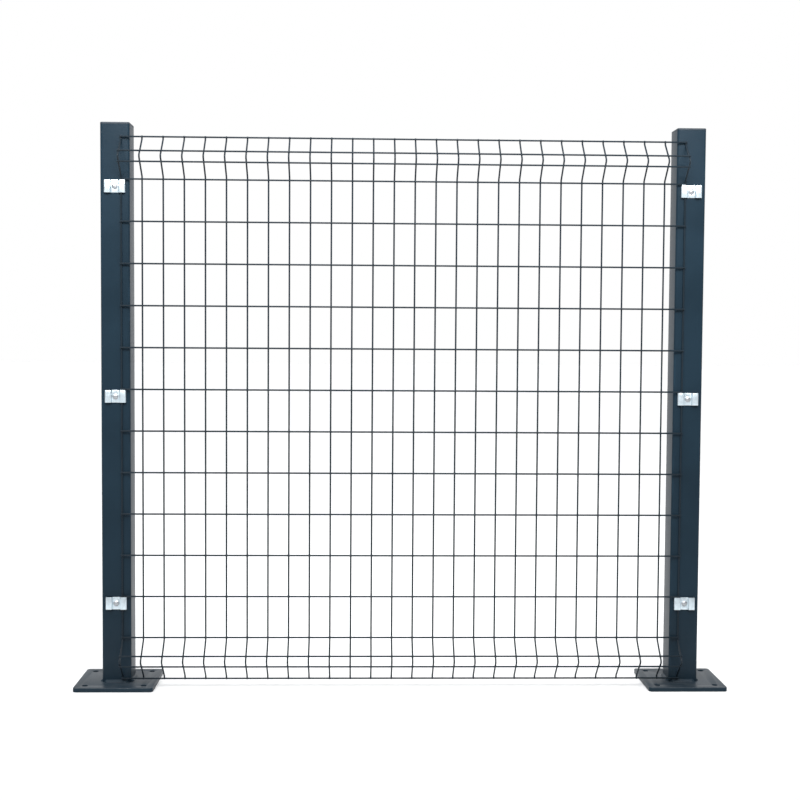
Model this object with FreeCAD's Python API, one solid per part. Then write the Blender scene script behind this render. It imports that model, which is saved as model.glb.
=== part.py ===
import FreeCAD
import Part
import math
import os

# One bay of welded mesh fence: a wire panel with a V fold along its top and bottom edges,
# clamped by sheet clips to the front faces of two square posts on anchored base plates.
# The origin is the middle of the left base plate's underside. +X runs along the fence to the
# right post, +Y points to the rear and +Z up. The folds and clips face the front, -Y.
# All lengths are in millimetres.

# Welded mesh
wire_diameter = 4.0
column_pitch = 50.0
column_spaces = 27
row_pitch = 100.0
plain_row_spaces = 11
wire_tail = 3.0  # wire past the middle of its last crossing
weld_set_down = 0.5  # how far two wires sink into each other at a weld

# V folds
fold_height = 100.0
fold_depth = 50.0
fold_foot = 6.0  # upright wire between an edge row and the nearest bend
crest_row_offset = 10.0  # crossing of a crest row above or below the crest

# Posts
post_width = 70.0
post_wall = 3.0
post_rise = 30.0  # end of the tube above the top row
end_wire_offset = 15.0  # outermost upright wire from the middle of its post

# Base plates
plate_margin = 60.0  # plate past each face of the post
plate_thickness = 10.0
plate_corner_radius = 8.0
anchor_inset = 25.0  # middle of an anchor hole from the plate's edges
anchor_hole_diameter = 14.0
foot_weld_leg = 6.0

# Post caps
cap_rim = 5.0
cap_skirt_depth = 20.0
cap_skirt_wall = 2.0
cap_skirt_relief = 8.0  # ends of a skirt wall from the tube's inner corners

# Panel clips
clip_height = 30.0
clip_sheet = 2.5
clip_wall_run = 1.5  # sideways lean of the wall between land and wing
clip_reach = 10.0  # outer edge of a wing past the middle of its wire
bolt_diameter = 6.0  # round-headed, with a square neck under the head

# Clearances
seat_gap = 0.2  # coat of paint between wire, post and clip
clip_side_play = 0.8  # sideways room for a wire beside the clip's wall
cap_play = 0.3  # skirt to the inside of the tube
neck_play = 0.5  # square hole over the neck of a bolt
bolt_play = 1.0  # round hole over the shank of a bolt
panel_lift = 1.0  # wire ends above the weld at the foot of the post

# A six-sided bar with the cross-section of the round wire
wire_sides = 6
wire_corner = wire_diameter * math.sqrt(math.pi / (2 * wire_sides * math.sin(2 * math.pi / wire_sides)))
wire_flat = wire_corner * math.cos(math.pi / wire_sides)

# Heights
bottom_row = plate_thickness + foot_weld_leg + panel_lift + wire_tail
lower_fold_end = bottom_row + fold_height
upper_fold_start = lower_fold_end + plain_row_spaces * row_pitch
top_row = upper_fold_start + fold_height
post_top = top_row + post_rise

# Positions along and across the fence
panel_width = column_spaces * column_pitch
post_spacing = panel_width + 2 * end_wire_offset
post_face = -post_width / 2
column_plane = post_face - seat_gap - wire_corner
row_step = wire_diameter - weld_set_down
plate_width = post_width + 2 * plate_margin
post_bore = post_width - 2 * post_wall
post_bore_radius = post_wall
post_corner_radius = post_bore_radius + post_wall
post_flat = post_width - 2 * post_corner_radius

# A clip sits under each of these rows, so that the panel rests on it
clip_levels = {
    "bottom": lower_fold_end + row_pitch,
    "middle": lower_fold_end + (plain_row_spaces + 1) // 2 * row_pitch,
    "top": upper_fold_start,
}

FRONT = FreeCAD.Vector(0, -1, 0)
UP = FreeCAD.Vector(0, 0, 1)
ALONG = FreeCAD.Vector(1, 0, 0)


def rounded_square(width, radius, height):
    """Level outline of a square with rounded corners, round the Z axis."""
    half = width / 2
    flat = half - radius
    middle = flat + radius * math.sqrt(0.5)
    edges = []
    for quarter in range(4):
        turn = FreeCAD.Rotation(UP, 90 * quarter)
        side_start = turn * FreeCAD.Vector(half, -flat, height)
        side_end = turn * FreeCAD.Vector(half, flat, height)
        corner_middle = turn * FreeCAD.Vector(middle, middle, height)
        corner_end = turn * FreeCAD.Vector(flat, half, height)
        edges.append(Part.LineSegment(side_start, side_end).toShape())
        edges.append(Part.Arc(side_end, corner_middle, corner_end).toShape())
    return Part.Wire(edges)


def square_prism(width, radius, bottom, top):
    """Upright prism on a rounded square."""
    return Part.Face(rounded_square(width, radius, bottom)).extrude(UP * (top - bottom))


def clip_middle(level):
    """Height of the bolt of the clip whose upper edge carries the row at this level."""
    return level - wire_flat - seat_gap - clip_height / 2


def four_sides(shape):
    """Copies of a shape on the front of a post, for all of its sides."""
    return [shape.rotated(FreeCAD.Vector(), UP, 90 * quarter) for quarter in range(4)]


def bolt_path(level):
    """Room for a clip's bolt: its neck in the clip and the front wall, its shank in the rear wall."""
    height = clip_middle(level)
    neck = bolt_diameter + neck_play
    neck_corner = FreeCAD.Vector(-neck / 2, post_face - clip_sheet, height - neck / 2)
    neck_room = Part.makeBox(neck, clip_sheet + post_wall, neck, neck_corner)
    shank_radius = (bolt_diameter + bolt_play) / 2
    shank_start = FreeCAD.Vector(0, 0, height)
    return neck_room.fuse(Part.makeCylinder(shank_radius, post_width / 2, shank_start, -FRONT))


def post():
    """Square tube with holes in its front and rear walls for the bolts of its clips."""
    tube = square_prism(post_width, post_corner_radius, plate_thickness, post_top)
    bore = square_prism(post_bore, post_bore_radius, plate_thickness, post_top)
    return tube.cut([bore] + [bolt_path(level) for level in clip_levels.values()])


def base_plate():
    """Plate with an anchor hole near each corner."""
    plate = square_prism(plate_width, plate_corner_radius, 0, plate_thickness)
    reach = plate_width / 2 - anchor_inset
    for x in (-reach, reach):
        for y in (-reach, reach):
            hole = Part.makeCylinder(anchor_hole_diameter / 2, plate_thickness, FreeCAD.Vector(x, y, 0))
            plate = plate.cut(hole)
    return plate


def foot_weld():
    """Fillet welds between the base plate and the flat sides of the post."""
    root = FreeCAD.Vector(-post_flat / 2, post_face, plate_thickness)
    section = Part.makePolygon([root, root + FRONT * foot_weld_leg, root + UP * foot_weld_leg, root])
    return Part.makeCompound(four_sides(Part.Face(section).extrude(ALONG * post_flat)))


def post_cap():
    """Push-in cap: a lid with a skirt wall inside each side of the tube."""
    lid = square_prism(post_width, post_corner_radius, post_top, post_top + cap_rim)
    wall_length = post_bore - 2 * cap_skirt_relief
    wall_corner = FreeCAD.Vector(-wall_length / 2, cap_play - post_bore / 2, post_top - cap_skirt_depth)
    wall = Part.makeBox(wall_length, cap_skirt_wall, cap_skirt_depth, wall_corner)
    return lid.multiFuse(four_sides(wall))


def clip(level):
    """Double-wing clip: a land bolted to the post, and a wing over the wire on each side."""
    bottom = clip_middle(level) - clip_height / 2
    half_sheet = clip_sheet / 2
    wing_face = 2 * (wire_corner + seat_gap)
    wall_foot = end_wire_offset - wire_corner - clip_side_play - clip_wall_run
    wall_lean = math.atan2(wing_face, clip_wall_run)
    land_end = wall_foot - half_sheet * math.tan(wall_lean / 2)
    lip = end_wire_offset + clip_reach - half_sheet
    right_half = [
        (land_end, half_sheet),
        (land_end + clip_wall_run, wing_face + half_sheet),
        (lip, wing_face + half_sheet),
        (lip, seat_gap),
    ]
    left_half = [(-x, y) for x, y in reversed(right_half)]
    points = [FreeCAD.Vector(x, post_face - y, bottom) for x, y in left_half + right_half]
    inner_corner = points[0] + ALONG * half_sheet
    outer_corner = points[0] - ALONG * half_sheet
    lift = UP * clip_height
    section = Part.makePolygon(
        [inner_corner, outer_corner, outer_corner + lift, inner_corner + lift, inner_corner]
    )
    strip = Part.makePolygon(points).makePipeShell([section], True, False, 1)
    return strip.cut(bolt_path(level))


def wire_section(middle, direction, ridge):
    """Outline of a bar across its direction, with one corner on the side that ridge points to."""
    side = direction.cross(ridge)
    corners = []
    for step in range(wire_sides + 1):
        angle = 2 * math.pi * step / wire_sides
        corners.append(middle + (ridge * math.cos(angle) + side * math.sin(angle)) * wire_corner)
    return Part.makePolygon(corners)


def column(points):
    """Upright wire at the left end of the panel, mitred at its bends."""
    path = Part.makePolygon(points)
    return path.makePipeShell([wire_section(points[0], UP, FRONT)], True, False, 1)


def row(crossing, ridge):
    """Level wire over the front of the columns, welded to them at crossings in line with this one."""
    start = crossing + ridge * row_step - ALONG * wire_tail
    section = Part.Face(wire_section(start, ALONG, ridge))
    return section.extrude(ALONG * (panel_width + 2 * wire_tail))


def wire_point(height, depth=0.0):
    """Point on the middle line of the left end column, this far in front of the plain mesh."""
    return FreeCAD.Vector(end_wire_offset, column_plane - depth, height)


def weld_mesh(points, rows):
    """Fuse the rows to a column repeated across the panel."""
    first = column(points)
    bars = list(rows)
    for number in range(1, column_spaces + 1):
        bars.append(first.translated(ALONG * (number * column_pitch)))
    return first.multiFuse(bars)


def plain_mesh():
    """Flat mesh between the folds."""
    start = wire_point(lower_fold_end + row_pitch / 2)
    end = wire_point(upper_fold_start - row_pitch / 2)
    rows = []
    for number in range(1, plain_row_spaces):
        rows.append(row(wire_point(lower_fold_end + number * row_pitch), FRONT))
    return weld_mesh([start, end], rows)


def folded_mesh(edge, inward):
    """V fold at an edge row. Inward is 1 where the plain mesh is above it and -1 where it is below."""
    crest = edge + inward * fold_height / 2
    inner_edge = edge + inward * fold_height
    points = [
        wire_point(edge - inward * wire_tail),
        wire_point(edge + inward * fold_foot),
        wire_point(crest, fold_depth),
        wire_point(inner_edge - inward * fold_foot),
        wire_point(inner_edge + inward * row_pitch / 2),
    ]
    flank_height = fold_height / 2 - fold_foot
    crest_row_depth = fold_depth * (1 - crest_row_offset / flank_height)
    rows = [row(wire_point(edge), FRONT), row(wire_point(inner_edge), FRONT)]
    for side in (-1, 1):
        ridge = FreeCAD.Vector(0, -flank_height, side * fold_depth).normalize()
        rows.append(row(wire_point(crest + side * crest_row_offset, crest_row_depth), ridge))
    return weld_mesh(points, rows)


os.makedirs("parts", exist_ok=True)

nodes = {
    "mesh_bottom_fold": folded_mesh(bottom_row, 1),
    "mesh_field": plain_mesh(),
    "mesh_top_fold": folded_mesh(top_row, -1),
}
for side, x in (("left", 0.0), ("right", post_spacing)):
    place = ALONG * x
    nodes[side + "_post"] = post().translated(place)
    nodes[side + "_base_plate"] = base_plate().translated(place)
    nodes[side + "_foot_weld"] = foot_weld().translated(place)
    nodes[side + "_post_cap"] = post_cap().translated(place)
    for position, level in clip_levels.items():
        nodes[side + "_" + position + "_clip"] = clip(level).translated(place)

for name, shape in nodes.items():
    shape.exportStep("parts/" + name + ".step")
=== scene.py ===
import math

import bmesh
import bpy
from mathutils import Matrix, Vector


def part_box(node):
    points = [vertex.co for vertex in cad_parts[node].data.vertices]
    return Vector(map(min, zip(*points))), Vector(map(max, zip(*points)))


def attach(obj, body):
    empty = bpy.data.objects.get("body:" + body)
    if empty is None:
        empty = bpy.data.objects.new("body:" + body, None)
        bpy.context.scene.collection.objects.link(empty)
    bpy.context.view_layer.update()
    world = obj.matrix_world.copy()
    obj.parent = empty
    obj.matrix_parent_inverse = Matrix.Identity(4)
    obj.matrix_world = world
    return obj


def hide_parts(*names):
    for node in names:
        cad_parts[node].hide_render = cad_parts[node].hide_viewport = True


bl_info = {
    "name": "Welded mesh fence panel",
    "version": (1, 0, 0),
    "blender": (4, 5, 0),
    "location": "3D View > Sidebar > Fence",
    "description": "Models one bay of welded mesh fence round its CAD frame",
    "category": "Add Mesh",
}

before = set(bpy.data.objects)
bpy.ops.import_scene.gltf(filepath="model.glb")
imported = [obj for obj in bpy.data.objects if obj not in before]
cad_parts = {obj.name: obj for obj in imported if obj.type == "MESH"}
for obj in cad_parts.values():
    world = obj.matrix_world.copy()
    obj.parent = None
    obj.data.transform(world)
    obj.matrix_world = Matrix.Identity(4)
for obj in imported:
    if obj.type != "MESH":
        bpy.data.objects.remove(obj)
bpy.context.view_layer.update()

# Names in the frame
SIDES = ("left", "right")
LEVELS = ("top", "middle", "bottom")
MESH_NODES = ("mesh_top_fold", "mesh_field", "mesh_bottom_fold")

# Places in the frame, in metres
post_low, post_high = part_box("left_post")
plate_low, plate_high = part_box("left_base_plate")
weld_low, weld_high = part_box("left_foot_weld")
cap_low, cap_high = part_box("left_post_cap")
clip_low, clip_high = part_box("left_bottom_clip")
PANEL_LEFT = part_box("mesh_field")[0].x
PANEL_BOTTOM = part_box("mesh_bottom_fold")[0].z
PANEL_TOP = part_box("mesh_top_fold")[1].z
POST_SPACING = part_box("right_post")[0].x - post_low.x
POST_FRONT = post_low.y
POST_REAR = post_high.y

# Clearances, in metres
SEAT_GAP = 0.0002  # coat of paint between a clip's lips and the post
NECK_PLAY = 0.0005  # square hole over the neck of a bolt
BOLT_PLAY = 0.001  # hole in the post's rear wall over the shank of a bolt
WASHER_PLAY = 0.0004  # hole of a washer over the bolt
CAP_PLAY = 0.0003  # skirt of a cap to the inside of the tube


def length(name, description, default):
    """A length that a user may change."""
    return bpy.props.FloatProperty(
        name=name,
        description=description,
        default=default,
        min=0.0,
        precision=5,
        unit="LENGTH",
        subtype="DISTANCE",
    )


def number(name, description, default):
    """A number of wires that a user may change."""
    return bpy.props.IntProperty(name=name, description=description, default=default, min=2)


def colour(name, description, default):
    """A colour that a user may change."""
    return bpy.props.FloatVectorProperty(
        name=name, description=description, default=default, size=3, min=0.0, max=1.0, subtype="COLOR"
    )


class FENCE_PG_panel(bpy.types.PropertyGroup):
    """Sizes of the wire panel."""

    wire_diameter: length("Wire diameter", "Diameter of the upright and level wires", 0.004)
    column_pitch: length("Column pitch", "From one upright wire to the next", 0.05)
    columns: number("Columns", "Number of upright wires", 28)
    row_pitch: length("Row pitch", "From one level wire to the next", 0.1)
    rows: number("Rows", "Number of level wires off the fold crests", 14)
    wire_tail: length("Wire tail", "Wire past the middle of its last crossing", 0.003)
    row_step: length("Row step", "Middle of a level wire in front of the upright ones", 0.0035)
    column_plane: length("Column plane", "Middle of the upright wires in front of the post", 0.0024)
    fold_depth: length("Fold depth", "How far a V fold stands out", 0.05)
    fold_foot: length("Fold foot", "Upright wire between an edge row and the nearest bend", 0.006)
    bend_radius: length("Bend radius", "Middle line of a wire round its bends", 0.006)
    crest_offset: length("Crest offset", "Crossing of a crest row above or below the crest", 0.01)


class FENCE_PG_posts(bpy.types.PropertyGroup):
    """Sizes of posts, plates and caps."""

    wall: length("Tube wall", "Thickness of the post's tube", 0.003)
    corner: length("Tube corner", "Outer radius of the tube's edges", 0.006)
    plate_corner: length("Plate corner", "Radius of the base plate's corners", 0.008)
    plate_edge: length("Plate edge", "Rounding of the base plate's upper and lower edges", 0.0008)
    anchor_inset: length("Anchor inset", "Middle of an anchor hole from the plate's edges", 0.025)
    anchor_hole: length("Anchor hole", "Diameter of an anchor hole", 0.014)
    weld_ripple: length("Weld ripple", "Length of one ripple of the foot weld", 0.0024)
    weld_crown: length("Weld crown", "Bulge of the foot weld's face", 0.0006)
    weld_bite: length("Weld bite", "How far the foot weld reaches into post and plate", 0.0004)
    cap_edge: length("Cap edge", "Rounding of the cap's upper edge", 0.002)
    cap_seam: length("Cap seam", "Rounding of the cap's lower edge, a line above the tube", 0.0006)
    cap_skirt: length("Cap skirt", "Thickness of the skirt inside the tube", 0.002)


class FENCE_PG_clips(bpy.types.PropertyGroup):
    """Sizes of clips and bolts."""

    sheet: length("Clip sheet", "Thickness of the clip", 0.0025)
    bend_radius: length("Clip bend", "Middle line of the sheet round its bends", 0.002)
    wall_run: length("Wall run", "Sideways lean of the wall between land and wing", 0.0015)
    land: length("Land", "Middle of the clip to the start of its wall", 0.00958)
    edge: length("Clip edge", "Rounding of the clip's cut edges", 0.0003)
    bolt: length("Bolt", "Diameter of the clip's bolt", 0.006)
    thread_pitch: length("Thread pitch", "From one turn of the thread to the next", 0.001)
    thread_reach: length("Thread reach", "Thread inside the post's rear face", 0.003)
    head: length("Bolt head", "Diameter of the round head", 0.0142)
    head_rise: length("Head rise", "Height of the round head", 0.0039)
    head_rim: length("Head rim", "Straight rim under the dome of the head", 0.0009)
    washer: length("Washer", "Outer diameter of the washer", 0.012)
    washer_sheet: length("Washer sheet", "Thickness of the washer", 0.0016)
    washer_edge: length("Washer edge", "Rounding of the washer's edges", 0.0002)
    nut_width: length("Nut width", "Nut across its flats", 0.01)
    nut_height: length("Nut height", "Height of the nut", 0.005)


class FENCE_PG_finishes(bpy.types.PropertyGroup):
    """Colours of the finishes."""

    post: colour("Post coat", "Powder coat of posts and plates", (0.0083, 0.0203, 0.0322))
    wire: colour("Wire coat", "Powder coat of the wire panel", (0.01, 0.017, 0.024))
    zinc: colour("Clip zinc", "Clips", (0.7, 0.8, 0.86))
    bolt: colour("Bolt zinc", "Bolts, washers and nuts", (0.46, 0.48, 0.5))
    cap: colour("Cap plastic", "Post caps", (0.011, 0.021, 0.032))
    floor: colour("Floor", "Studio floor", (0.9, 0.9, 0.9))


# Finishes

# Dust, also laid on faces that look up as painted light from above
DUST_AND_TOP_LIGHT = (0.3, 0.29, 0.28)
BARE_STEEL = (0.17, 0.18, 0.19)
DULL_ZINC = (0.55, 0.58, 0.62)

# Heights of bump, in metres
PEEL = 0.00013
ROLLING_LINES = 0.00006
MOULD_GRAIN = 0.00008

# Wear on posts and plates, as metres from an edge to where it begins and to where it is full; on the tubes'
# corners it is also a painted highlight
RIM_WEAR = (0.0016, 0.0004)
ARRIS_WEAR = (0.002, 0.0007)
CORNER_SCUFF_AND_HIGHLIGHT = (0.0052, 0.0036)
PAST_ARRIS = (-0.0002, -0.0004)
PAST_CORNER = (0.0, -0.001)

# Heights between which dust and the painted light on upward faces thin out, and scuffs with their painted
# highlight set in, in metres
FADE_OF_DUST_AND_TOP_LIGHT = (0.0, 0.3)
SCUFF_AND_HIGHLIGHT_RISE = (0.03, 0.06)


class Value:
    """A socket that takes part in Python sums, which add their own nodes."""

    def __init__(self, nodes, socket):
        self.nodes = nodes
        self.socket = socket

    def worked_out(self, operation, *terms):
        """Result of a Math node."""
        return self.nodes.node("ShaderNodeMath", {"operation": operation}, dict(enumerate(terms)))

    def __add__(self, other):
        return self.worked_out("ADD", self, other)

    def __sub__(self, other):
        return self.worked_out("SUBTRACT", self, other)

    def __rsub__(self, other):
        return self.worked_out("SUBTRACT", other, self)

    def __mul__(self, other):
        return self.worked_out("MULTIPLY", self, other)

    __radd__ = __add__
    __rmul__ = __mul__

    def __abs__(self):
        return self.worked_out("ABSOLUTE", self)

    def larger(self, other):
        """The larger of two values."""
        return self.worked_out("MAXIMUM", self, other)

    def wrapped(self, low, high):
        """The value folded into a range, over and over."""
        return self.worked_out("WRAP", self, high, low)

    def between(self, low, high):
        """Nought below low, one above high, and smooth in between."""
        return self.nodes.node(
            "ShaderNodeMapRange",
            {"interpolation_type": "SMOOTHSTEP"},
            {"Value": self, "From Min": low, "From Max": high},
        )

    def near(self, edge, distances):
        """Nought well before an edge and one close to it, changing between two distances from it."""
        start, full = distances
        return self.between(edge - start, edge - full)


class Nodes:
    """A node tree that is filled by one method."""

    def __init__(self, tree):
        self.tree = tree
        self.tree.nodes.clear()

    def node(self, kind, settings=None, inputs=None, output=0):
        """Add a node, set it, fill or link its sockets and give one of its outputs."""
        made = self.tree.nodes.new(kind)
        for key, setting in (settings or {}).items():
            setattr(made, key, setting)
        for key, value in (inputs or {}).items():
            if isinstance(value, Value):
                self.tree.links.new(value.socket, made.inputs[key])
            else:
                made.inputs[key].default_value = value
        return Value(self, made.outputs[output]) if made.outputs else None


class Finish(Nodes):
    """A material, with its patterns on the piece's own coordinates."""

    def __init__(self, name):
        self.material = bpy.data.materials.new(name)
        self.material.use_nodes = True
        super().__init__(self.material.node_tree)
        self.place = self.node("ShaderNodeTexCoord", output="Object")

    def noise(self, scale, detail=2.0, stretch=(1.0, 1.0, 1.0), seed=0.0):
        """Noise with this many features to a metre."""
        spot = self.node(
            "ShaderNodeMapping",
            {"vector_type": "POINT"},
            {"Vector": self.place, "Location": (seed, seed, seed), "Scale": stretch},
        )
        return self.node("ShaderNodeTexNoise", {}, {"Vector": spot, "Scale": scale, "Detail": detail})

    def axis(self, name, vector=None):
        """One part of a vector, or of the place on the piece."""
        return self.node("ShaderNodeSeparateXYZ", {}, {"Vector": vector or self.place}, output=name)

    def mix(self, share, first, second):
        """Blend of two colours."""
        return self.node("ShaderNodeMix", {"data_type": "RGBA"}, {0: share, 6: first, 7: second}, output=2)

    def bump(self, height, distance):
        """Normal from a height."""
        return self.node("ShaderNodeBump", {}, {"Height": height, "Strength": 1.0, "Distance": distance})

    def close(self, **sockets):
        """Link the surface shader and give the material."""
        inputs = {name.replace("_", " "): value for name, value in sockets.items()}
        surface = self.node("ShaderNodeBsdfPrincipled", {}, inputs)
        self.node("ShaderNodeOutputMaterial", {}, {"Surface": surface})
        return self.material


def rgba(tone, factor=1.0):
    """A colour for a socket, made lighter or darker."""
    return tuple(min(1.0, part * factor) for part in tone) + (1.0,)


class Coat(Finish):
    """Half-glossy powder coat with orange peel and a slightly cloudy tone."""

    def __init__(self, name, tone):
        super().__init__(name)
        cloud = self.noise(7.0, detail=3.0)
        speckle = self.noise(900.0)
        self.base = self.mix(cloud.between(0.3, 0.7), rgba(tone, 0.9), rgba(tone, 1.12))
        self.base = self.mix(speckle.between(0.6, 0.8) * 0.4, self.base, rgba(tone, 1.7))
        self.rough = 0.28 + cloud * 0.1 + speckle * 0.06
        self.peel = self.noise(420.0, seed=0.3) + self.noise(1100.0, seed=0.7) * 0.35

    def cover(self, share, shade, rougher):
        """Lay another colour over a share of the coat."""
        self.base = self.mix(share, self.base, shade)
        self.rough = self.rough + share * rougher

    def paint(self, gloss):
        """Close the coat with this specular level."""
        return self.close(
            Base_Color=self.base,
            Roughness=self.rough,
            Specular_IOR_Level=gloss,
            Normal=self.bump(self.peel, PEEL),
        )


def wire_coat(name, tone):
    """Powder coat of the wire panel."""
    return Coat(name, tone).paint(gloss=0.16)


def post_coat(name, tone):
    """Powder coat of posts and plates, with dust on the feet, painted light from above on the faces that
    look up, wear on the edges and a painted highlight among the scuffs on the tubes' corners.
    """
    coat = Coat(name, tone)
    along = abs(coat.axis("X").wrapped(-POST_SPACING / 2, POST_SPACING / 2))
    across = abs(coat.axis("Y"))
    height = coat.axis("Z")

    # A film of dust, most of it in patches on faces that look up, where it also lightens the plates' tops
    # as painted light from above
    normal = coat.node("ShaderNodeNewGeometry", output="Normal")
    upward_light_and_dust = coat.axis("Z", normal).between(0.6, 0.95)
    patches = coat.noise(38.0, detail=4.0, seed=1.4).between(0.3, 0.75)
    low = 1 - height.between(*FADE_OF_DUST_AND_TOP_LIGHT)
    coat.cover(low * (0.012 + upward_light_and_dust * 0.07) * (0.45 + patches * 0.55), rgba(DUST_AND_TOP_LIGHT), rougher=0.6)

    # Chips where the upper edges of the plates were knocked
    knocks = coat.noise(26.0, seed=2.9).between(0.5, 0.66)
    chips = coat.noise(420.0, detail=4.0, seed=2.2).between(0.56, 0.6)
    rim = along.larger(across).near(plate_high.x, RIM_WEAR)
    arris = height.near(plate_high.z, ARRIS_WEAR) * (1 - height.near(plate_high.z, PAST_ARRIS))
    coat.cover(rim * arris * (0.12 + knocks * chips * 0.88), rgba(BARE_STEEL), rougher=0.05)

    # Light scuffs on the tubes' rounded corners, lighter and glossier, which also paint a highlight along
    # the corners
    diagonal = along + across
    edge = post_high.x * 2
    corner = diagonal.near(edge, CORNER_SCUFF_AND_HIGHLIGHT) * (1 - diagonal.near(edge, PAST_CORNER))
    scuffs_and_highlight = coat.noise(24.0, detail=4.0, seed=3.1).between(0.45, 0.8)
    coat.cover(corner * height.between(*SCUFF_AND_HIGHLIGHT_RISE) * scuffs_and_highlight * 0.25, rgba(tone, 2.6), rougher=-0.1)
    return coat.paint(gloss=0.12)


def zinc_plate(name, tone):
    """Bright zinc with rolling lines, clouding and a few dull spots."""
    finish = Finish(name)
    cloud = finish.noise(120.0, detail=4.0)
    spots = finish.noise(420.0, seed=0.8).between(0.6, 0.75)
    lines = finish.noise(70.0, detail=3.0, stretch=(1.0, 24.0, 30.0))
    base = finish.mix(cloud.between(0.3, 0.7), rgba(tone, 0.9), rgba(tone, 1.05))
    base = finish.mix(spots * 0.3, base, rgba(DULL_ZINC))
    return finish.close(
        Base_Color=base,
        Metallic=1.0,
        Roughness=0.3 + cloud * 0.14 + spots * 0.12 + lines * 0.06,
        Normal=finish.bump(lines + cloud * 0.5, ROLLING_LINES),
    )


def moulded_plastic(name, tone):
    """Dark plastic with a fine moulded grain."""
    finish = Finish(name)
    grain = finish.noise(1500.0)
    cloud = finish.noise(14.0)
    return finish.close(
        Base_Color=finish.mix(cloud.between(0.3, 0.7), rgba(tone, 0.92), rgba(tone, 1.1)),
        Roughness=0.48 + grain * 0.1,
        Specular_IOR_Level=0.4,
        Normal=finish.bump(grain, MOULD_GRAIN),
    )


def floor_paint(name, tone):
    """Pale matt paint with a faint clouding."""
    finish = Finish(name)
    cloud = finish.noise(0.8)
    return finish.close(
        Base_Color=finish.mix(cloud, rgba(tone, 0.98), rgba(tone)),
        Roughness=0.6 + cloud * 0.1,
        Specular_IOR_Level=0.2,
    )


def finish_named(name):
    """A finish, made when it is first asked for."""
    tones = bpy.context.scene.fence_finishes
    maker, tone = {
        "post_coat": (post_coat, tones.post),
        "wire_coat": (wire_coat, tones.wire),
        "clip_steel": (zinc_plate, tones.zinc),
        "bolt_steel": (zinc_plate, tones.bolt),
        "cap_plastic": (moulded_plastic, tones.cap),
        "floor": (floor_paint, tones.floor),
    }[name]
    return bpy.data.materials.get(name + "_finish") or maker(name + "_finish", tone)


# Modelling steps

FACING = {"X": (0.0, math.pi / 2, 0.0), "Y": (math.pi / 2, 0.0, 0.0), "Z": (0.0, 0.0, 0.0)}
MIDDLE = (0.0, 0.0, 0.0)
MERGE_DISTANCE = 1e-6
TOOL_REACH = 0.02  # a cutting tool past the face that it cuts, in metres
SHARP = math.radians(50)  # least turn of an edge that gets rounded
CORNER_STEPS = 8  # segments of a rounded corner


def to_object_mode():
    """Leave edit mode, if a piece is in it."""
    if bpy.context.object and bpy.context.object.mode == "EDIT":
        bpy.ops.object.mode_set(mode="OBJECT")


def begin(name, primitive, scale=(1.0, 1.0, 1.0), **size):
    """Add a primitive as the start of a piece, put its place in its mesh and go into edit mode."""
    to_object_mode()
    bpy.ops.object.select_all(action="DESELECT")
    primitive(**size)
    piece = bpy.context.object
    piece.name = piece.data.name = name
    piece.scale = scale
    bpy.ops.object.transform_apply(location=True, rotation=True, scale=True)
    bpy.ops.object.mode_set(mode="EDIT")
    return piece


def box(name, low, high):
    """Start a piece from a cube between two corners."""
    low, high = Vector(low), Vector(high)
    middle = (low + high) / 2
    return begin(name, bpy.ops.mesh.primitive_cube_add, size=1.0, location=middle, scale=high - low)


def disc(name, axis, radius, place, sides):
    """Start a piece from a filled circle across an axis."""
    return begin(
        name,
        bpy.ops.mesh.primitive_circle_add,
        vertices=sides,
        radius=radius,
        fill_type="NGON",
        location=place,
        rotation=FACING[axis],
    )


def pick(piece, kind, test):
    """Select only the vertices, edges or faces that pass a test."""
    bpy.ops.mesh.select_mode(type=kind)
    bpy.ops.mesh.select_all(action="DESELECT")
    mesh = bmesh.from_edit_mesh(piece.data)
    parts = {"VERT": mesh.verts, "EDGE": mesh.edges, "FACE": mesh.faces}[kind]
    found = [part for part in parts if test(part)]
    if not found:
        raise RuntimeError(piece.name + ": nothing to select")
    for part in found:
        part.select_set(True)
    mesh.select_flush_mode()
    bmesh.update_edit_mesh(piece.data)


def upright(edge):
    """True for an edge along Z."""
    run = edge.verts[1].co - edge.verts[0].co
    return abs(run.z) > 0.99 * run.length


def round_corners(piece, radius):
    """Round the upright edges of a box."""
    pick(piece, "EDGE", upright)
    bpy.ops.mesh.bevel(offset=radius, segments=CORNER_STEPS, affect="EDGES")


def extrude(x=0.0, y=0.0, z=0.0):
    """Extrude what is selected."""
    bpy.ops.mesh.extrude_region_move(TRANSFORM_OT_translate={"value": (x, y, z)})


class Bender:
    """Draws what is selected along straight runs and round bends, all across one axis."""

    def __init__(self, axis, start, heading, radius):
        self.axis = Vector(axis)
        self.end = Vector(start)
        self.heading = Vector(heading)
        self.radius = radius

    def run(self, distance):
        """Go straight on."""
        step = self.heading * distance
        extrude(*step)
        self.end += step

    def bend(self, angle, steps):
        """Go round a bend. A positive angle turns right-handed about the axis."""
        side = self.axis.cross(self.heading) * math.copysign(1.0, angle)
        middle = self.end + side * self.radius
        bpy.ops.mesh.spin(steps=steps, angle=-angle, center=middle, axis=self.axis)
        turn = Matrix.Rotation(angle, 3, self.axis)
        self.end = middle + turn @ (self.end - middle)
        self.heading = turn @ self.heading


def out_of_edit(piece):
    """Go back to object mode with only this piece selected."""
    to_object_mode()
    bpy.ops.object.select_all(action="DESELECT")
    piece.select_set(True)
    bpy.context.view_layer.objects.active = piece


def apply(piece, kind, **settings):
    """Add a modifier, set it and apply it."""
    out_of_edit(piece)
    modifier = piece.modifiers.new(kind, kind)
    for key, setting in settings.items():
        setattr(modifier, key, setting)
    bpy.ops.object.modifier_apply(modifier=modifier.name)


def soften(piece, width, segments):
    """Round the sharp edges of a piece."""
    apply(piece, "BEVEL", width=width, segments=segments, limit_method="ANGLE", angle_limit=SHARP)


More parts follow.
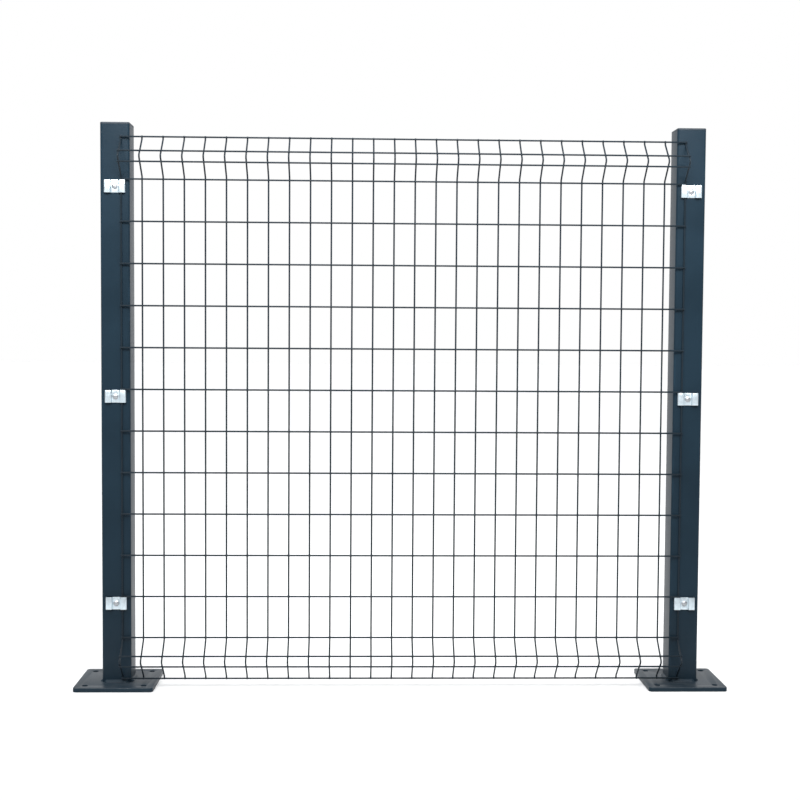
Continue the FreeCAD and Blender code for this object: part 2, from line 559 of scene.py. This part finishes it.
def repeat(piece, count, x=0.0, y=0.0, z=0.0):
    """Repeat a piece in a row."""
    apply(
        piece,
        "ARRAY",
        count=count,
        use_relative_offset=False,
        use_constant_offset=True,
        constant_offset_displace=(x, y, z),
    )


def cut(piece, tool, operation="DIFFERENCE"):
    """Cut one piece with another, which goes."""
    apply(piece, "BOOLEAN", object=tool, operation=operation, solver="EXACT")
    bpy.data.objects.remove(tool)


def drill(name, axis, diameter, place, sides):
    """Round cutting tool through a place."""
    return begin(
        name,
        bpy.ops.mesh.primitive_cylinder_add,
        vertices=sides,
        radius=diameter / 2,
        depth=2 * TOOL_REACH,
        location=place,
        rotation=FACING[axis],
    )


def neck_punch(bolt, height):
    """Square cutting tool for the neck of a bolt, through the front of the left post."""
    half = (bolt + NECK_PLAY) / 2
    return box("punch", (-half, POST_FRONT - TOOL_REACH, height - half), (half, 0.0, height + half))


def clean(piece):
    """Merge doubled points and turn all faces outwards."""
    out_of_edit(piece)
    bpy.ops.object.mode_set(mode="EDIT")
    bpy.ops.mesh.select_all(action="SELECT")
    bpy.ops.mesh.remove_doubles(threshold=MERGE_DISTANCE)
    bpy.ops.mesh.normals_make_consistent(inside=False)
    bpy.ops.object.mode_set(mode="OBJECT")


def join(name, pieces):
    """Join pieces into one."""
    out_of_edit(pieces[0])
    for piece in pieces:
        piece.select_set(True)
    bpy.ops.object.join()
    joined = bpy.context.object
    joined.name = joined.data.name = name
    return joined


def copy_to(piece, name, x=0.0, z=0.0):
    """Copy a piece, with a mesh of its own, to another place."""
    out_of_edit(piece)
    bpy.ops.object.duplicate()
    made = bpy.context.object
    made.name = made.data.name = name
    bpy.ops.transform.translate(value=(x, 0.0, z))
    bpy.ops.object.transform_apply(location=True, rotation=False, scale=False)
    return made


def hand_over(piece, slot, *nodes, angle=35.0, finish=None):
    """Shade and paint a finished piece and tie it to the frame."""
    out_of_edit(piece)
    bpy.ops.object.shade_smooth_by_angle(angle=math.radians(angle))
    piece.data.materials.clear()
    piece.data.materials.append(finish_named(finish or slot))
    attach(piece, "root")
    if nodes:
        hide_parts(*nodes)


def on_both_posts(piece, name, slot, angle=35.0):
    """Hand over a piece of the left post, and a copy of it on the right one."""
    hand_over(copy_to(piece, name + "_right", x=POST_SPACING), slot, "right_" + name, angle=angle)
    hand_over(piece, slot, "left_" + name, angle=angle)


def on_each_clip(model, name, finish, replace=False):
    """Hand over copies of a piece that was modelled at height nought, one at each clip."""
    for side in SIDES:
        for level in LEVELS:
            node = side + "_" + level + "_clip"
            low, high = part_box(node)
            middle = (low + high) / 2
            made = copy_to(model, name + "_" + side + "_" + level, x=middle.x, z=middle.z)
            nodes = [node] if replace else []
            hand_over(made, "clip_steel", *nodes, finish=finish)
    bpy.data.objects.remove(model)


# Wire panel

WIRE_SIDES = 12
WIRE_END_BEVEL = 0.08  # of the wire's diameter
FOOT_BEND_STEPS = 4  # segments of the bend at a fold's foot, which turns half as far as the crest
PATH_TOLERANCE = 1e-5

# Flash of a weld, as shares of the wire's diameter
SPOT_RADIUS = 0.58
SPOT_CORE = 0.2
SPOT_CORNER = 0.05

# Factors that shape the ball of a weld spot
CORNER_STRETCH = 1.16
SPOT_FLATTENING = 0.55


class FoldPath:
    """Heights and angles of the V folds, worked out from the panel's sizes."""

    def __init__(self, sizes):
        self.sizes = sizes
        self.column_x = PANEL_LEFT + sizes.wire_tail
        self.column_y = POST_FRONT - sizes.column_plane
        self.bottom_row = PANEL_BOTTOM + sizes.wire_tail
        self.top_row = PANEL_TOP - sizes.wire_tail
        self.flank_rise = sizes.row_pitch / 2 - sizes.fold_foot
        self.flank = math.hypot(self.flank_rise, sizes.fold_depth)
        self.lean = math.atan2(sizes.fold_depth, self.flank_rise)
        self.foot_tangent = sizes.bend_radius * math.tan(self.lean / 2)
        self.crest_tangent = sizes.bend_radius * math.tan(self.lean)
        self.lower_crest = self.bottom_row + sizes.row_pitch / 2
        self.crest_spacing = self.top_row - self.bottom_row - sizes.row_pitch
        self.crest_depth = sizes.fold_depth * (1 - sizes.crest_offset / self.flank_rise)

    def crest_weld(self, side, reach):
        """Y, and height from the crest, of a point in front of a crest crossing on one of the flanks."""
        ridge_y = -self.flank_rise / self.flank
        ridge_z = side * self.sizes.fold_depth / self.flank
        y = self.column_y - self.crest_depth + ridge_y * reach
        return y, side * self.sizes.crest_offset + ridge_z * reach


def bevel_ends(piece, axis, wire):
    """Break the sharp edges of the cut ends of a wire along X, 0, or Z, 2."""
    bpy.ops.object.mode_set(mode="EDIT")
    pick(piece, "FACE", lambda face: len(face.verts) > 4 and abs(face.normal[axis]) > 0.99)
    bpy.ops.mesh.bevel(offset=wire * WIRE_END_BEVEL, segments=2, affect="EDGES")
    bpy.ops.object.mode_set(mode="OBJECT")


class FENCE_OT_wire_columns(bpy.types.Operator):
    """Upright wires, bent like one wire on a bender and repeated across the panel"""

    bl_idname = "fence.wire_columns"
    bl_label = "Upright wires"

    def fold(self, bender, path, first, last):
        """One V fold between a straight run before it and one after it."""
        flank = path.flank - path.foot_tangent - path.crest_tangent
        bender.run(first - path.foot_tangent)
        bender.bend(path.lean, FOOT_BEND_STEPS)
        bender.run(flank)
        bender.bend(-2 * path.lean, 2 * FOOT_BEND_STEPS)
        bender.run(flank)
        bender.bend(path.lean, FOOT_BEND_STEPS)
        bender.run(last - path.foot_tangent)

    def execute(self, context):
        sizes = context.scene.fence_panel
        path = FoldPath(sizes)
        start = Vector((path.column_x, path.column_y, PANEL_BOTTOM))
        piece = disc("wire_columns", "Z", sizes.wire_diameter / 2, start, WIRE_SIDES)
        bender = Bender((1.0, 0.0, 0.0), start, (0.0, 0.0, 1.0), sizes.bend_radius)
        middle_run = (path.crest_spacing - sizes.row_pitch) / 2 + sizes.fold_foot
        end_run = sizes.wire_tail + sizes.fold_foot
        self.fold(bender, path, end_run, middle_run)
        self.fold(bender, path, middle_run, end_run)
        if (bender.end - Vector((path.column_x, path.column_y, PANEL_TOP))).length > PATH_TOLERANCE:
            raise RuntimeError("the bent wire misses the end of its path")
        clean(piece)
        bevel_ends(piece, 2, sizes.wire_diameter)
        repeat(piece, sizes.columns, x=sizes.column_pitch)
        hand_over(piece, "wire_coat", *MESH_NODES)
        return {"FINISHED"}


class FENCE_OT_wire_rows(bpy.types.Operator):
    """Level wires over the front of the upright ones"""

    bl_idname = "fence.wire_rows"
    bl_label = "Level wires"

    def row(self, name, sizes, y, z):
        """One level wire across the panel."""
        piece = disc(name, "X", sizes.wire_diameter / 2, (PANEL_LEFT, y, z), WIRE_SIDES)
        extrude(x=(sizes.columns - 1) * sizes.column_pitch + 2 * sizes.wire_tail)
        clean(piece)
        bevel_ends(piece, 0, sizes.wire_diameter)
        return piece

    def execute(self, context):
        sizes = context.scene.fence_panel
        path = FoldPath(sizes)
        plain = self.row("plain_rows", sizes, path.column_y - sizes.row_step, path.bottom_row)
        repeat(plain, sizes.rows, z=sizes.row_pitch)
        y, rise = path.crest_weld(1, sizes.row_step)
        crest = self.row("crest_rows", sizes, y, path.lower_crest - rise)
        repeat(crest, 2, z=2 * rise)
        repeat(crest, 2, z=path.crest_spacing)
        hand_over(join("wire_rows", [plain, crest]), "wire_coat", *MESH_NODES)
        return {"FINISHED"}


class FENCE_OT_weld_spots(bpy.types.Operator):
    """Flash squeezed out at the welded crossings"""

    bl_idname = "fence.weld_spots"
    bl_label = "Weld spots"

    def spots(self, name, path, y, z, lean):
        """Flattened balls, drawn out to the corners between the wires, along one row."""
        wire = path.sizes.wire_diameter

        def in_corner(point):
            x, z = abs(point.co.x), abs(point.co.z)
            return x > wire * SPOT_CORE and abs(x - z) < wire * SPOT_CORNER

        piece = begin(
            name,
            bpy.ops.mesh.primitive_uv_sphere_add,
            segments=8,
            ring_count=5,
            radius=wire * SPOT_RADIUS,
            rotation=FACING["Y"],
        )
        pick(piece, "VERT", in_corner)
        bpy.ops.transform.resize(value=(CORNER_STRETCH, 1.0, CORNER_STRETCH), center_override=MIDDLE)
        bpy.ops.mesh.select_all(action="SELECT")
        bpy.ops.transform.resize(value=(1.0, SPOT_FLATTENING, 1.0), center_override=MIDDLE)
        bpy.ops.transform.rotate(value=-lean, orient_axis="X", center_override=MIDDLE)
        bpy.ops.transform.translate(value=(path.column_x, y, z))
        repeat(piece, path.sizes.columns, x=path.sizes.column_pitch)
        return piece

    def execute(self, context):
        sizes = context.scene.fence_panel
        path = FoldPath(sizes)
        plain = self.spots("plain_spots", path, path.column_y - sizes.row_step / 2, path.bottom_row, 0.0)
        repeat(plain, sizes.rows, z=sizes.row_pitch)
        rows = [plain]
        for side in (-1, 1):
            y, rise = path.crest_weld(side, sizes.row_step / 2)
            crest = self.spots("crest_spots", path, y, path.lower_crest + rise, -side * path.lean)
            repeat(crest, 2, z=path.crest_spacing)
            rows.append(crest)
        hand_over(join("weld_spots", rows), "wire_coat", *MESH_NODES, angle=60.0)
        return {"FINISHED"}


# Posts

BEAD_SIDES = 128  # of the whole circle that a bead's face is cut from
RIPPLE_RINGS = 4  # rings of points to one ripple of a bead
RIPPLE_DEPTH = 0.035  # of the bead's size
BEAD_END = 0.3  # size of a bead's end, to that of its middle
CROWN_SHARES = (0.05, 0.16, 0.3, 0.46, 0.68)  # nearness to the crown where the drag of a bead steps up
CROWN_DRAG = 0.1  # of a ripple's length, for each step


class FENCE_OT_posts(bpy.types.Operator):
    """Square tubes with holes for the bolts of their clips"""

    bl_idname = "fence.posts"
    bl_label = "Posts"

    def execute(self, context):
        sizes = context.scene.fence_posts
        bolt = context.scene.fence_clips.bolt
        piece = box("post_left", post_low, post_high)
        round_corners(piece, sizes.corner)
        pick(piece, "FACE", lambda face: abs(face.normal.z) > 0.9)
        bpy.ops.mesh.delete(type="FACE")
        apply(piece, "SOLIDIFY", thickness=sizes.wall, offset=-1.0, use_even_offset=True)
        for level in LEVELS:
            low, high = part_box("left_" + level + "_clip")
            height = (low.z + high.z) / 2
            cut(piece, neck_punch(bolt, height))
            cut(piece, drill("shank_drill", "Y", bolt + BOLT_PLAY, (0.0, POST_REAR, height), sides=32))
        on_both_posts(piece, "post", "post_coat")
        return {"FINISHED"}


class FENCE_OT_base_plates(bpy.types.Operator):
    """Square plates with an anchor hole near each corner"""

    bl_idname = "fence.base_plates"
    bl_label = "Base plates"

    def execute(self, context):
        sizes = context.scene.fence_posts
        piece = box("base_plate_left", plate_low, plate_high)
        round_corners(piece, sizes.plate_corner)
        reach = plate_high.x - sizes.anchor_inset
        tool = drill("anchor_drill", "Z", sizes.anchor_hole, (-reach, -reach, 0.0), sides=40)
        repeat(tool, 2, x=2 * reach)
        repeat(tool, 2, y=2 * reach)
        cut(piece, tool)
        soften(piece, sizes.plate_edge, segments=3)
        on_both_posts(piece, "base_plate", "post_coat")
        return {"FINISHED"}


class FENCE_OT_foot_welds(bpy.types.Operator):
    """Rippled fillet welds round the feet of the posts"""

    bl_idname = "fence.foot_welds"
    bl_label = "Foot welds"

    def section(self, sizes, root, leg):
        """Section of a bead at its left end, with its crown drawn back as on a bead laid to the right."""
        half_chord = leg / math.sqrt(2)
        radius = (half_chord**2 + sizes.weld_crown**2) / (2 * sizes.weld_crown)
        inset = (radius - half_chord - sizes.weld_crown) / math.sqrt(2)
        piece = disc("foot_weld_left", "X", radius, root + Vector((0.0, inset, -inset)), BEAD_SIDES)
        for side in (Vector((0.0, 1.0, 0.0)), Vector((0.0, 0.0, -1.0))):
            bpy.ops.mesh.select_all(action="SELECT")
            bpy.ops.mesh.bisect(plane_co=root + side * sizes.weld_bite, plane_no=side, clear_outer=True)

        def near_crown(point):
            out = root.y - point.co.y
            up = point.co.z - root.z
            return 1 - abs(out - up) / leg if out + up > leg / 2 else 0.0

        for share in CROWN_SHARES:
            pick(piece, "VERT", lambda point, share=share: near_crown(point) > share)
            bpy.ops.transform.translate(value=(-sizes.weld_ripple * CROWN_DRAG, 0.0, 0.0))
        return piece

    def execute(self, context):
        sizes = context.scene.fence_posts
        leg = weld_high.z - weld_low.z
        run = post_high.x - post_low.x - 2 * sizes.corner
        root = Vector((-run / 2, POST_FRONT, weld_low.z))
        piece = self.section(sizes, root, leg)
        bpy.ops.mesh.select_mode(type="FACE")
        bpy.ops.mesh.select_all(action="SELECT")
        count = round(run / sizes.weld_ripple) * RIPPLE_RINGS
        step = run / count
        size = 1.0
        for ring in range(count + 1):
            if ring:
                extrude(x=step)
            to_end = min(ring, count - ring) * step
            taper = BEAD_END + (1 - BEAD_END) * math.sin(min(1.0, to_end / leg) * math.pi / 2)
            phase = ring % RIPPLE_RINGS / RIPPLE_RINGS
            next_size = taper * (1 - RIPPLE_DEPTH * (phase * 2 - 1) ** 2)
            factor = next_size / size
            middle = root + Vector((ring * step, 0.0, 0.0))
            bpy.ops.transform.resize(value=(1.0, factor, factor), center_override=middle)
            size = next_size
        bpy.ops.mesh.select_all(action="SELECT")
        bpy.ops.mesh.spin(steps=3, dupli=True, angle=math.radians(270), center=MIDDLE, axis=(0.0, 0.0, 1.0))
        clean(piece)
        on_both_posts(piece, "foot_weld", "post_coat", angle=50.0)
        return {"FINISHED"}


class FENCE_OT_post_caps(bpy.types.Operator):
    """Push-in caps on the posts"""

    bl_idname = "fence.post_caps"
    bl_label = "Post caps"

    def execute(self, context):
        sizes = context.scene.fence_posts
        lid = post_high.z
        flat = cap_high.x - sizes.corner
        skirt = sizes.wall + CAP_PLAY

        def faces_down(face):
            return face.normal.z < -0.99

        def in_skirt(face):
            middle = face.calc_center_median()
            past_flat = math.hypot(max(abs(middle.x) - flat, 0.0), max(abs(middle.y) - flat, 0.0))
            inside = sizes.corner - past_flat
            return faces_down(face) and skirt < inside < skirt + sizes.cap_skirt

        piece = box("post_cap_left", (cap_low.x, cap_low.y, lid), cap_high)
        round_corners(piece, sizes.corner)
        pick(piece, "FACE", lambda face: face.normal.z > 0.9)
        bpy.ops.mesh.bevel(offset=sizes.cap_edge, segments=5, affect="EDGES")
        pick(piece, "FACE", faces_down)
        bpy.ops.mesh.bevel(offset=sizes.cap_seam, segments=3, affect="EDGES")
        pick(piece, "FACE", faces_down)
        bpy.ops.mesh.inset(thickness=skirt - sizes.cap_seam)
        bpy.ops.mesh.inset(thickness=sizes.cap_skirt)
        pick(piece, "FACE", in_skirt)
        extrude(z=cap_low.z - lid)
        on_both_posts(piece, "post_cap", "cap_plastic")
        return {"FINISHED"}


# Clips and bolts

CLIP_BEND_STEPS = 6
DOME_STEPS = 8
THREAD_STEPS = 20  # segments of one turn
THREAD_DEPTH = 0.61  # of the pitch
THREAD_FOOT = 0.96  # width of the thread at its foot, of the pitch
TURNS_PAST_NUT = 3.5

# Small sizes of bolt and nut, in metres
RUN_OUT = 0.001  # taper from the shank to the core of the thread
BOLT_POINT = 0.0006  # chamfer at the end of the bolt
NUT_BITE = 0.0003  # bore of the nut inside the crests of the thread
NUT_SINK = 0.0006  # countersink of the bore
TOOL_SPARE = 0.0002  # a nut's tools past its faces and corners

# Chamfer of a nut
CHAMFER_CIRCLE = 0.96  # of the width across its flats
CHAMFER_ANGLE = math.radians(30)


class FENCE_OT_clips(bpy.types.Operator):
    """Sheet clips, bent to a land between two wings"""

    bl_idname = "fence.clips"
    bl_label = "Clips"

    def execute(self, context):
        sizes = context.scene.fence_clips
        half_sheet = sizes.sheet / 2
        height = clip_high.z - clip_low.z
        lip = (clip_high.x - clip_low.x) / 2 - half_sheet
        wing = POST_FRONT - clip_low.y - half_sheet
        wall_rise = wing - half_sheet
        lean = math.atan2(wall_rise, sizes.wall_run)
        wall_tangent = sizes.bend_radius * math.tan(lean / 2)
        land_end = sizes.land - wall_tangent
        y = POST_FRONT - half_sheet
        piece = begin(
            "clip",
            bpy.ops.mesh.primitive_plane_add,
            size=1.0,
            location=(land_end / 2, y, 0.0),
            rotation=FACING["Y"],
            scale=(land_end, height, 1.0),
        )
        pick(piece, "EDGE", lambda edge: upright(edge) and edge.verts[0].co.x > land_end / 2)
        runs = (
            (-lean, math.hypot(wall_rise, sizes.wall_run) - 2 * wall_tangent),
            (lean, lip - sizes.land - sizes.wall_run - wall_tangent - sizes.bend_radius),
            (math.pi / 2, wing - sizes.bend_radius - SEAT_GAP),
        )
        bender = Bender((0.0, 0.0, 1.0), (land_end, y, 0.0), (1.0, 0.0, 0.0), sizes.bend_radius)
        for angle, run in runs:
            bender.bend(angle, CLIP_BEND_STEPS)
            bender.run(run)
        apply(piece, "MIRROR", use_axis=(True, False, False), use_clip=True, merge_threshold=MERGE_DISTANCE)
        clean(piece)
        apply(piece, "SOLIDIFY", thickness=sizes.sheet, offset=0.0, use_even_offset=True)
        cut(piece, neck_punch(sizes.bolt, 0.0))
        soften(piece, sizes.edge, segments=2)
        on_each_clip(piece, "clip", "clip_steel", replace=True)
        return {"FINISHED"}


class FENCE_OT_bolts(bpy.types.Operator):
    """Round-headed bolts through clips and posts, with washers and nuts at the back"""

    bl_idname = "fence.bolts"
    bl_label = "Bolts, washers and nuts"

    def turned(self, name, profile, sides=32):
        """Piece grown along Y from a disc, through (Y, radius) pairs."""
        start, first_radius = profile[0]
        piece = disc(name, "Y", first_radius, (0.0, start, 0.0), sides)
        for (y, radius), (next_y, next_radius) in zip(profile, profile[1:]):
            extrude(y=next_y - y)
            factor = next_radius / radius
            bpy.ops.transform.resize(value=(factor, 1.0, factor), center_override=(0.0, next_y, 0.0))
        clean(piece)
        return piece

    def thread(self, sizes, end):
        """Ridge of the thread, wound from the post's rear face to this end."""
        ridge = THREAD_FOOT * sizes.thread_pitch / math.sqrt(3)
        piece = begin(
            "thread",
            bpy.ops.mesh.primitive_circle_add,
            vertices=3,
            radius=ridge,
            location=(sizes.bolt / 2 - ridge, POST_REAR, 0.0),
            rotation=(0.0, 0.0, -math.pi / 2),
        )
        apply(
            piece,
            "SCREW",
            axis="Y",
            angle=2 * math.pi,
            screw_offset=sizes.thread_pitch,
            iterations=int((end - POST_REAR) / sizes.thread_pitch),
            steps=THREAD_STEPS,
            render_steps=THREAD_STEPS,
        )
        bpy.ops.object.mode_set(mode="EDIT")
        bpy.ops.mesh.select_all(action="SELECT")
        bpy.ops.mesh.fill_holes(sides=3)
        clean(piece)
        return piece

    def bolt(self, sizes, nut_far):
        """Domed head, plain shank and a core with the thread round it."""
        head = sizes.head / 2
        shank = sizes.bolt / 2
        core = shank - THREAD_DEPTH * sizes.thread_pitch
        seat = POST_FRONT - sizes.sheet
        dome_top = seat - sizes.head_rise
        dome_rise = sizes.head_rise - sizes.head_rim
        dome = (head * head + dome_rise * dome_rise) / (2 * dome_rise)
        sweep = math.asin(head / dome)
        profile = []
        for step in range(1, DOME_STEPS + 1):
            angle = sweep * step / DOME_STEPS
            profile.append((dome_top + dome * (1 - math.cos(angle)), dome * math.sin(angle)))
        thread_start = POST_REAR - sizes.thread_reach
        thread_end = nut_far + TURNS_PAST_NUT * sizes.thread_pitch
        profile += [
            (seat, head),
            (seat, shank),
            (thread_start - RUN_OUT, shank),
            (thread_start, core),
            (thread_end, core),
            (thread_end + BOLT_POINT, core - BOLT_POINT),
        ]
        body = self.turned("bolt", profile)
        return join("bolt", [body, self.thread(sizes, thread_end)])

    def washer(self, sizes, near, far):
        """Ring spun from the outline of its section."""
        inner = (sizes.bolt + WASHER_PLAY) / 2
        outer = sizes.washer / 2
        piece = begin(
            "washer",
            bpy.ops.mesh.primitive_plane_add,
            size=1.0,
            location=((inner + outer) / 2, (near + far) / 2, 0.0),
            scale=(outer - inner, far - near, 1.0),
        )
        bpy.ops.mesh.delete(type="ONLY_FACE")
        bpy.ops.mesh.select_all(action="SELECT")
        bpy.ops.mesh.spin(steps=40, angle=2 * math.pi, center=MIDDLE, axis=(0.0, 1.0, 0.0))
        clean(piece)
        soften(piece, sizes.washer_edge, segments=2)
        return piece

    def nut(self, sizes, near, far):
        """Hexagon with chamfered corners and a countersunk bore."""
        corner = sizes.nut_width / math.sqrt(3)
        piece = disc("nut", "Y", corner, (0.0, near, 0.0), sides=6)
        extrude(y=far - near)
        clean(piece)
        circle = sizes.nut_width / 2 * CHAMFER_CIRCLE
        chamfer = (corner - circle) * math.tan(CHAMFER_ANGLE)
        barrel = [
            (near - TOOL_SPARE / 2, circle),
            (near + chamfer, corner + TOOL_SPARE),
            (far - chamfer, corner + TOOL_SPARE),
            (far + TOOL_SPARE / 2, circle),
        ]
        cut(piece, self.turned("chamfer_tool", barrel, sides=48), "INTERSECT")
        bore = sizes.bolt / 2 - NUT_BITE
        bore_tool = [
            (near - TOOL_SPARE, bore),
            (far - NUT_SINK, bore),
            (far + TOOL_SPARE, bore + NUT_SINK + TOOL_SPARE),
        ]
        cut(piece, self.turned("bore_tool", bore_tool))
        clean(piece)
        return piece

    def execute(self, context):
        sizes = context.scene.fence_clips
        nut_near = POST_REAR + sizes.washer_sheet
        nut_far = nut_near + sizes.nut_height
        on_each_clip(self.bolt(sizes, nut_far), "bolt", "bolt_steel")
        on_each_clip(self.washer(sizes, POST_REAR, nut_near), "washer", "bolt_steel")
        on_each_clip(self.nut(sizes, nut_near, nut_far), "nut", "bolt_steel")
        return {"FINISHED"}


# Stage

FLOOR_WIDTH = 60.0

# Camera of the photograph, in metres and degrees, with its lens in millimetres
CAMERA_PLACE = (0.58144, -3.36194, 0.87069)
CAMERA_TURN = (87.0194, -0.37707, -1.70955)
CAMERA_LENS = 62.187
CAMERA_SENSOR = 36.0

# Long soft light in front of the posts' upper half
KEY_PLACE = Vector((POST_SPACING / 2 + 0.04, -1.6, 2.2))
KEY_TARGET = Vector((POST_SPACING / 2, 0.0, 1.35))
KEY_WIDTH = 2.6
KEY_HEIGHT = 0.7
KEY_POWER = 26.0
KEY_SPREAD = math.radians(80)

# Wide light from above
TOP_TURN = (math.radians(28), math.radians(-14), 0.0)
TOP_STRENGTH = 2.05
TOP_SPREAD = math.radians(70)

# Light from all round, from the front of the fence to its rear
AROUND_COLOUR = (0.97, 0.985, 1.0)
AROUND_LEVEL = {"From Min": -0.6, "From Max": 0.8, "To Min": 0.26, "To Max": 1.1}


class FENCE_OT_stage(bpy.types.Operator):
    """Pale floor, soft light and the photograph's camera"""

    bl_idname = "fence.stage"
    bl_label = "Stage"

    def floor(self):
        """Wide plain floor under the fence."""
        place = (POST_SPACING / 2, 0.0, 0.0)
        floor = begin("floor", bpy.ops.mesh.primitive_plane_add, size=FLOOR_WIDTH, location=place)
        out_of_edit(floor)
        floor.data.materials.append(finish_named("floor"))

    def lamp(self, name, kind, energy, **place):
        """Add a light."""
        bpy.ops.object.light_add(type=kind, **place)
        lamp = bpy.context.object
        lamp.name = lamp.data.name = name
        lamp.data.energy = energy
        return lamp

    def lights(self):
        """The key light and the light from above."""
        aim = (KEY_TARGET - KEY_PLACE).to_track_quat("-Z", "Y").to_euler()
        key = self.lamp("key_light", "AREA", KEY_POWER, location=KEY_PLACE, rotation=aim)
        key.data.shape = "RECTANGLE"
        key.data.size = KEY_WIDTH
        key.data.size_y = KEY_HEIGHT
        key.data.spread = KEY_SPREAD
        key.visible_camera = False
        top = self.lamp("top_light", "SUN", TOP_STRENGTH, rotation=TOP_TURN)
        top.data.angle = TOP_SPREAD

    def world(self, scene):
        """Light from all round, brighter from behind the fence, in front of a white backdrop."""
        scene.world = bpy.data.worlds.new("studio")
        scene.world.use_nodes = True
        nodes = Nodes(scene.world.node_tree)
        direction = nodes.node("ShaderNodeTexCoord", output="Generated")
        rearward = nodes.node("ShaderNodeSeparateXYZ", {}, {"Vector": direction}, output="Y")
        level = nodes.node("ShaderNodeMapRange", {}, {"Value": rearward, **AROUND_LEVEL})
        around = nodes.node("ShaderNodeBackground", {}, {"Color": rgba(AROUND_COLOUR), "Strength": level})
        backdrop = nodes.node("ShaderNodeBackground", {}, {"Color": (1.0, 1.0, 1.0, 1.0), "Strength": 1.0})
        seen = nodes.node("ShaderNodeLightPath", output="Is Camera Ray")
        choice = nodes.node("ShaderNodeMixShader", {}, {0: seen, 1: around, 2: backdrop})
        nodes.node("ShaderNodeOutputWorld", {}, {"Surface": choice})

    def camera(self, scene):
        """Camera where the photograph was taken from."""
        turn = [math.radians(angle) for angle in CAMERA_TURN]
        bpy.ops.object.camera_add(location=CAMERA_PLACE, rotation=turn)
        camera = bpy.context.object
        camera.name = camera.data.name = "photo_camera"
        camera.data.sensor_width = CAMERA_SENSOR
        camera.data.lens = CAMERA_LENS
        scene.camera = camera

    def execute(self, context):
        self.floor()
        self.lights()
        self.world(context.scene)
        self.camera(context.scene)
        context.scene.view_settings.view_transform = "Standard"
        return {"FINISHED"}


STEPS = (
    FENCE_OT_wire_columns,
    FENCE_OT_wire_rows,
    FENCE_OT_weld_spots,
    FENCE_OT_posts,
    FENCE_OT_base_plates,
    FENCE_OT_foot_welds,
    FENCE_OT_post_caps,
    FENCE_OT_clips,
    FENCE_OT_bolts,
    FENCE_OT_stage,
)

SETTINGS = {
    "fence_panel": FENCE_PG_panel,
    "fence_posts": FENCE_PG_posts,
    "fence_clips": FENCE_PG_clips,
    "fence_finishes": FENCE_PG_finishes,
}


class FENCE_PT_panel(bpy.types.Panel):
    """Sizes, colours and steps of the fence panel"""

    bl_idname = "FENCE_PT_panel"
    bl_label = "Fence panel"
    bl_space_type = "VIEW_3D"
    bl_region_type = "UI"
    bl_category = "Fence"

    def draw(self, context):
        for name, group in SETTINGS.items():
            column = self.layout.box().column()
            column.label(text=group.__doc__)
            for field in group.__annotations__:
                column.prop(getattr(context.scene, name), field)
        for step in STEPS:
            self.layout.operator(step.bl_idname)


CLASSES = tuple(SETTINGS.values()) + STEPS + (FENCE_PT_panel,)


def register():
    """Make the operators, the panel and the scene's settings known."""
    for made in CLASSES:
        bpy.utils.register_class(made)
    for name, group in SETTINGS.items():
        setattr(bpy.types.Scene, name, bpy.props.PointerProperty(type=group))


def unregister():
    """Take back what register made known."""
    for name in SETTINGS:
        delattr(bpy.types.Scene, name)
    for made in reversed(CLASSES):
        bpy.utils.unregister_class(made)


def main():
    """Build the fence piece by piece and set the stage."""
    register()
    bpy.ops.fence.wire_columns()
    bpy.ops.fence.wire_rows()
    bpy.ops.fence.weld_spots()
    bpy.ops.fence.posts()
    bpy.ops.fence.base_plates()
    bpy.ops.fence.foot_welds()
    bpy.ops.fence.post_caps()
    bpy.ops.fence.clips()
    bpy.ops.fence.bolts()
    bpy.ops.fence.stage()


if __name__ == "__main__":
    main()
